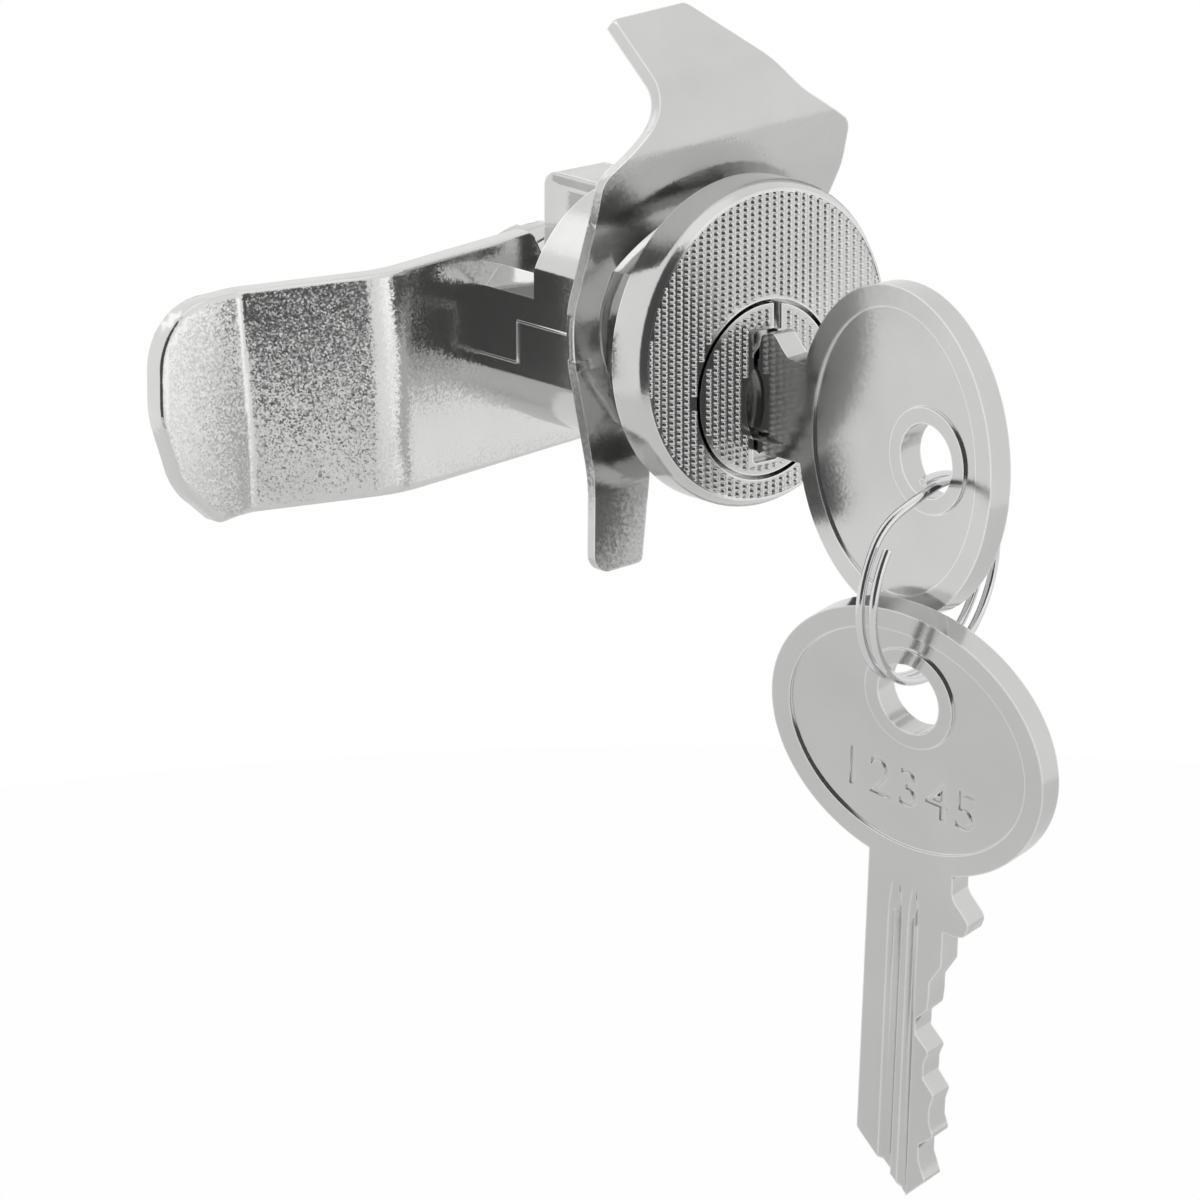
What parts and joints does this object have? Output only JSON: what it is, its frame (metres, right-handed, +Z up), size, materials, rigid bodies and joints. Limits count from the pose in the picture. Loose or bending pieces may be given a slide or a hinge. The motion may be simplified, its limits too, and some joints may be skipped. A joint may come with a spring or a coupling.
{
  "type": "mailbox lock",
  "caption": "Cam lock for a mailbox door: round ridged flange, flatted barrel, spring mounting clip, bent cam, and keys on a split ring.",
  "frame": {"origin": "centre of the flange's rear face, where it meets the front of the mailbox door", "axes": "+X to the right as the face is seen, +Y along the barrel into the mailbox, +Z up; the key goes in along +Y"},
  "size_m": [0.0455, 0.0527, 0.0786],
  "materials": {
    "die_cast": "bright satin nickel plate on a zinc casting",
    "plug_metal": "satin nickel plate on brass",
    "pin_brass": "plain turned brass",
    "pin_spring_wire": "bright spring wire",
    "spring_steel": "bright zinc plate on spring steel",
    "cam_steel": "bright plate over a fine sandy grain",
    "fastener_steel": "bright zinc plate",
    "key_metal": "satin nickel silver",
    "ring_wire": "polished nickel"
  },
  "bodies": {
    "housing": {"housing": "die_cast", "chamber_cover": "fastener_steel", "mounting_clip": "spring_steel", "pin_spring_1": "pin_spring_wire", "pin_spring_2": "pin_spring_wire", "pin_spring_3": "pin_spring_wire", "pin_spring_4": "pin_spring_wire", "pin_spring_5": "pin_spring_wire"},
    "plug": {"plug": "plug_metal", "cam": "cam_steel", "lock_washer": "fastener_steel", "cam_nut": "fastener_steel", "key_pin_1": "pin_brass", "key_pin_2": "pin_brass", "key_pin_3": "pin_brass", "key_pin_4": "pin_brass", "key_pin_5": "pin_brass"},
    "lock_key": {"lock_key": "key_metal"},
    "split_ring": {"split_ring": "ring_wire"},
    "spare_key": {"spare_key": "key_metal"},
    "driver_pin_1": {"driver_pin_1": "pin_brass"},
    "driver_pin_2": {"driver_pin_2": "pin_brass"},
    "driver_pin_3": {"driver_pin_3": "pin_brass"},
    "driver_pin_4": {"driver_pin_4": "pin_brass"},
    "driver_pin_5": {"driver_pin_5": "pin_brass"}
  },
  "joints": [
    {"name": "plug_turn", "type": "hinge", "parent": "housing", "child": "plug", "pos_m": [0, 0, -0.00306], "axis": [0, -1, 0], "range_deg": [0, 90]},
    {"name": "key_slide", "type": "slide", "parent": "plug", "child": "lock_key", "axis": [0, -1, 0], "range_m": [0, 0.022], "deforming": ["key_pin_1", "key_pin_2", "key_pin_3", "key_pin_4", "key_pin_5"]},
    {"name": "ring_swing", "type": "hinge", "parent": "lock_key", "child": "split_ring", "pos_m": [0, -0.02046, -0.0056], "axis": [1, 0, 0], "range_deg": [-90, 5]},
    {"name": "spare_key_swing", "type": "hinge", "parent": "split_ring", "child": "spare_key", "pos_m": [-0.0019, -0.01914, -0.0192], "axis": [0.9629, 0.229, -0.143], "range_deg": [-30, 4]},
    {"name": "driver_lift_1", "type": "slide", "parent": "housing", "child": "driver_pin_1", "axis": [0, 0, 1], "range_m": [0, 0.00185], "stiffness_N_per_m": 100, "springref_m": -0.002, "deforming": ["pin_spring_1"]},
    {"name": "driver_lift_2", "type": "slide", "parent": "housing", "child": "driver_pin_2", "axis": [0, 0, 1], "range_m": [0, 0.00185], "stiffness_N_per_m": 100, "springref_m": -0.002, "deforming": ["pin_spring_2"]},
    {"name": "driver_lift_3", "type": "slide", "parent": "housing", "child": "driver_pin_3", "axis": [0, 0, 1], "range_m": [0, 0.00185], "stiffness_N_per_m": 100, "springref_m": -0.002, "deforming": ["pin_spring_3"]},
    {"name": "driver_lift_4", "type": "slide", "parent": "housing", "child": "driver_pin_4", "axis": [0, 0, 1], "range_m": [0, 0.00185], "stiffness_N_per_m": 100, "springref_m": -0.002, "deforming": ["pin_spring_4"]},
    {"name": "driver_lift_5", "type": "slide", "parent": "housing", "child": "driver_pin_5", "axis": [0, 0, 1], "range_m": [0, 0.00185], "stiffness_N_per_m": 100, "springref_m": -0.002, "deforming": ["pin_spring_5"]}
  ]
}
